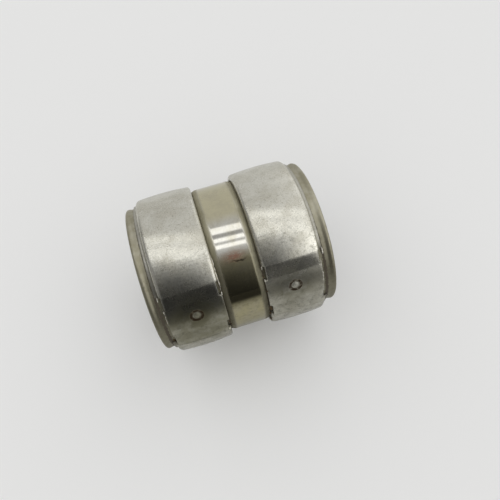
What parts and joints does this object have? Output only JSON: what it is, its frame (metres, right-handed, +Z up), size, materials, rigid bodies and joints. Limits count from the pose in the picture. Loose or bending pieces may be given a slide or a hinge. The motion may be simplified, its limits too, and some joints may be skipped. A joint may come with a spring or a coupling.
{
  "type": "double pipe clamp with coupling sleeve",
  "caption": "Short stainless steel sleeve with a crowned band clamp round each half, each tightened by a bolt through two bars in the band's looped ends, for joining two pipes.",
  "frame": {"origin": "the middle of the underside, on the surface that the part rests on, under the middle of the sleeve", "axes": "+X along the sleeve's axis to the right, +Y to the back, where the nuts are, +Z up"},
  "size_m": [0.0908, 0.0822, 0.0946],
  "materials": {
    "polished_steel": "rolled and polished stainless steel with a faint straw tint, duller and greyer at its two ends",
    "band_steel": "pressed stainless steel sheet, satin and slightly mottled, with a brown heat tint round each spot weld",
    "plate_steel": "rolled stainless steel sheet, satin",
    "turned_steel": "turned steel bar with fine rings",
    "zinc_steel": "zinc-plated steel, semi-matt"
  },
  "bodies": {
    "root": {"sleeve": "polished_steel", "left_band": "band_steel", "left_bridge_plate": "plate_steel", "left_head_spool": "turned_steel", "left_nut_spool": "turned_steel", "left_bolt": "zinc_steel", "right_band": "band_steel", "right_bridge_plate": "plate_steel", "right_head_spool": "turned_steel", "right_nut_spool": "turned_steel", "right_bolt": "zinc_steel"},
    "left_washer": {"left_washer": "zinc_steel"},
    "left_nut": {"left_nut": "zinc_steel"},
    "right_washer": {"right_washer": "zinc_steel"},
    "right_nut": {"right_nut": "zinc_steel"}
  },
  "joints": [
    {"name": "left_nut_travel", "type": "slide", "parent": "root", "child": "left_washer", "axis": [0, 1, 0], "range_m": [0, 0.0101]},
    {"name": "left_nut_turn", "type": "hinge", "parent": "left_washer", "child": "left_nut", "pos_m": [-0.02585, 0.02, 0.00805], "axis": [0, -1, 0], "range_deg": [0, 2880]},
    {"name": "right_nut_travel", "type": "slide", "parent": "root", "child": "right_washer", "axis": [0, 1, 0], "range_m": [0, 0.0101]},
    {"name": "right_nut_turn", "type": "hinge", "parent": "right_washer", "child": "right_nut", "pos_m": [0.02515, 0.02, 0.00805], "axis": [0, -1, 0], "range_deg": [0, 2880]}
  ],
  "couplings": [
    {"joint": "left_nut_travel", "follows": "left_nut_turn", "m_per_rad": 0.00019894},
    {"joint": "right_nut_travel", "follows": "right_nut_turn", "m_per_rad": 0.00019894}
  ]
}
